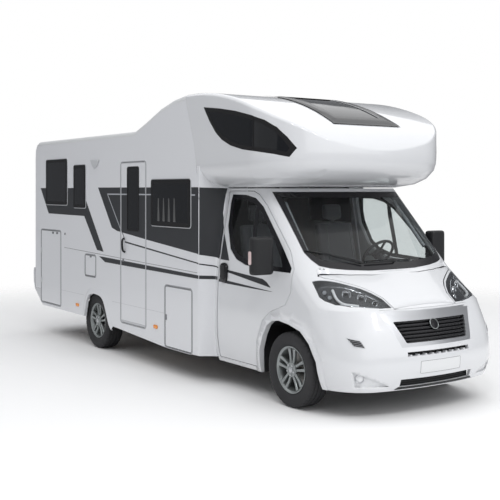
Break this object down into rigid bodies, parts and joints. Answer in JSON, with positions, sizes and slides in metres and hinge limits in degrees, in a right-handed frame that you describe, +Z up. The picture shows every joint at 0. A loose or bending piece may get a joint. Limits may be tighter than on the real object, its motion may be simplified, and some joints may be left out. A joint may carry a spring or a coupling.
{
  "type": "alcove motorhome",
  "caption": "Coach-built motorhome with a sleeping alcove over the cab, opening cab, entrance, locker and garage doors, bonnet and steered road wheels.",
  "frame": {"origin": "bottom centre of the bounding box, on the ground", "axes": "+Z up, -Y towards the front of the vehicle, +X towards its left side"},
  "size_m": [2.5758, 7.0715, 3.0719],
  "materials": {
    "painted_white": "glossy white paint and gel coat",
    "soft_plastic": "dark grey grained plastic",
    "gloss_black": "glossy black plastic",
    "lens": "clear and coloured lamp lenses",
    "tinted_glass": "dark tinted acrylic and glass",
    "rubber": "black tyre rubber",
    "alloy": "silver-grey alloy",
    "steel": "dark coated steel",
    "floor": "laminated floor board",
    "fabric": "grey seat cloth",
    "silver": "pale silver trim"
  },
  "bodies": {
    "vehicle_body": {"side_wall_right": "painted_white", "side_wall_left": "painted_white", "rear_wall": "painted_white", "roof_panel": "painted_white", "floor_panel": "floor", "skirt_right": "painted_white", "skirt_left": "painted_white", "windows_right": "tinted_glass", "windows_left": "tinted_glass", "roof_vents": "painted_white", "rear_bumper": "painted_white", "tail_lamps": "lens", "alcove_shell": "painted_white", "alcove_bed_floor": "painted_white", "cheek_panels": "painted_white", "alcove_windows": "tinted_glass", "alcove_skylight": "tinted_glass", "cab_shell": "painted_white", "front_wing_left": "painted_white", "front_wing_right": "painted_white", "cab_floor": "soft_plastic", "front_bumper": "painted_white", "grille": "gloss_black", "grille_surround": "silver", "headlamps": "soft_plastic", "headlamp_covers": "lens", "windscreen": "tinted_glass", "dashboard": "soft_plastic", "cab_seats": "fabric", "front_subframe": "steel", "engine_block": "steel", "chassis_frame": "steel", "rear_axle": "steel", "exhaust": "steel", "fuel_and_waste_tanks": "soft_plastic"},
    "wheel_front_left": {"tyre_front_left": "rubber", "rim_front_left": "alloy"},
    "wheel_front_right": {"tyre_front_right": "rubber", "rim_front_right": "alloy"},
    "wheel_rear_left": {"tyre_rear_left": "rubber", "rim_rear_left": "alloy"},
    "wheel_rear_right": {"tyre_rear_right": "rubber", "rim_rear_right": "alloy"},
    "knuckle_left": {"knuckle_left": "steel"},
    "knuckle_right": {"knuckle_right": "steel"},
    "steering_wheel": {"steering_wheel": "soft_plastic"},
    "cab_door_left": {"cab_door_left": "painted_white", "cab_door_glass_left": "tinted_glass", "mirror_left": "soft_plastic"},
    "cab_door_right": {"cab_door_right": "painted_white", "cab_door_glass_right": "tinted_glass", "mirror_right": "soft_plastic"},
    "habitation_door": {"habitation_door": "painted_white", "habitation_door_window": "tinted_glass"},
    "locker_door_right": {"locker_door_right": "painted_white"},
    "garage_door_right": {"garage_door_right": "painted_white"},
    "garage_door_left": {"garage_door_left": "painted_white"},
    "service_hatch_right": {"service_hatch_right": "painted_white"},
    "bonnet": {"bonnet": "painted_white"}
  },
  "joints": [
    {"name": "left_knuckle_steer", "type": "hinge", "parent": "vehicle_body", "child": "knuckle_left", "pos_m": [0.905, -2.565, 0.355], "axis": [0, 0, 1], "range_deg": [-35, 35]},
    {"name": "right_knuckle_steer", "type": "hinge", "parent": "vehicle_body", "child": "knuckle_right", "pos_m": [-0.905, -2.565, 0.355], "axis": [0, 0, 1], "range_deg": [-35, 35]},
    {"name": "front_left_wheel_spin", "type": "hinge", "parent": "knuckle_left", "child": "wheel_front_left", "pos_m": [0.905, -2.565, 0.355], "axis": [1, 0, 0], "continuous": true},
    {"name": "front_right_wheel_spin", "type": "hinge", "parent": "knuckle_right", "child": "wheel_front_right", "pos_m": [-0.905, -2.565, 0.355], "axis": [1, 0, 0], "continuous": true},
    {"name": "rear_left_wheel_spin", "type": "hinge", "parent": "vehicle_body", "child": "wheel_rear_left", "pos_m": [0.99, 1.47, 0.355], "axis": [1, 0, 0], "continuous": true},
    {"name": "rear_right_wheel_spin", "type": "hinge", "parent": "vehicle_body", "child": "wheel_rear_right", "pos_m": [-0.99, 1.47, 0.355], "axis": [1, 0, 0], "continuous": true},
    {"name": "steering_wheel_turn", "type": "hinge", "parent": "vehicle_body", "child": "steering_wheel", "pos_m": [0.42, -2.215, 1.37], "axis": [0, 0.766, 0.6428], "range_deg": [-540, 540]},
    {"name": "left_cab_door_hinge", "type": "hinge", "parent": "vehicle_body", "child": "cab_door_left", "pos_m": [1.022, -2.585, 0.9], "axis": [0, 0, 1], "range_deg": [-65, 0]},
    {"name": "right_cab_door_hinge", "type": "hinge", "parent": "vehicle_body", "child": "cab_door_right", "pos_m": [-1.022, -2.585, 0.9], "axis": [0, 0, 1], "range_deg": [0, 65]},
    {"name": "entrance_door_hinge", "type": "hinge", "parent": "vehicle_body", "child": "habitation_door", "pos_m": [-1.15, 0.033, 1.4], "axis": [0, 0, 1], "range_deg": [0, 90]},
    {"name": "front_locker_hinge", "type": "hinge", "parent": "vehicle_body", "child": "locker_door_right", "pos_m": [-1.15, -1.014, 0.63], "axis": [0, 0, 1], "range_deg": [0, 90]},
    {"name": "right_garage_hinge", "type": "hinge", "parent": "vehicle_body", "child": "garage_door_right", "pos_m": [-1.15, 3.227, 0.95], "axis": [0, 0, 1], "range_deg": [-90, 0]},
    {"name": "left_garage_hinge", "type": "hinge", "parent": "vehicle_body", "child": "garage_door_left", "pos_m": [1.15, 3.227, 0.95], "axis": [0, 0, 1], "range_deg": [0, 90]},
    {"name": "service_hatch_hinge", "type": "hinge", "parent": "vehicle_body", "child": "service_hatch_right", "pos_m": [-1.15, 1.551, 0.927], "axis": [0, 1, 0], "range_deg": [-90, 0]},
    {"name": "bonnet_hinge", "type": "hinge", "parent": "vehicle_body", "child": "bonnet", "pos_m": [0, -2.748, 1.258], "axis": [1, 0, 0], "range_deg": [-55, 0]}
  ],
  "couplings": [
    {"joint": "right_knuckle_steer", "follows": "left_knuckle_steer", "ratio": 1},
    {"joint": "steering_wheel_turn", "follows": "left_knuckle_steer", "ratio": 15.4}
  ]
}
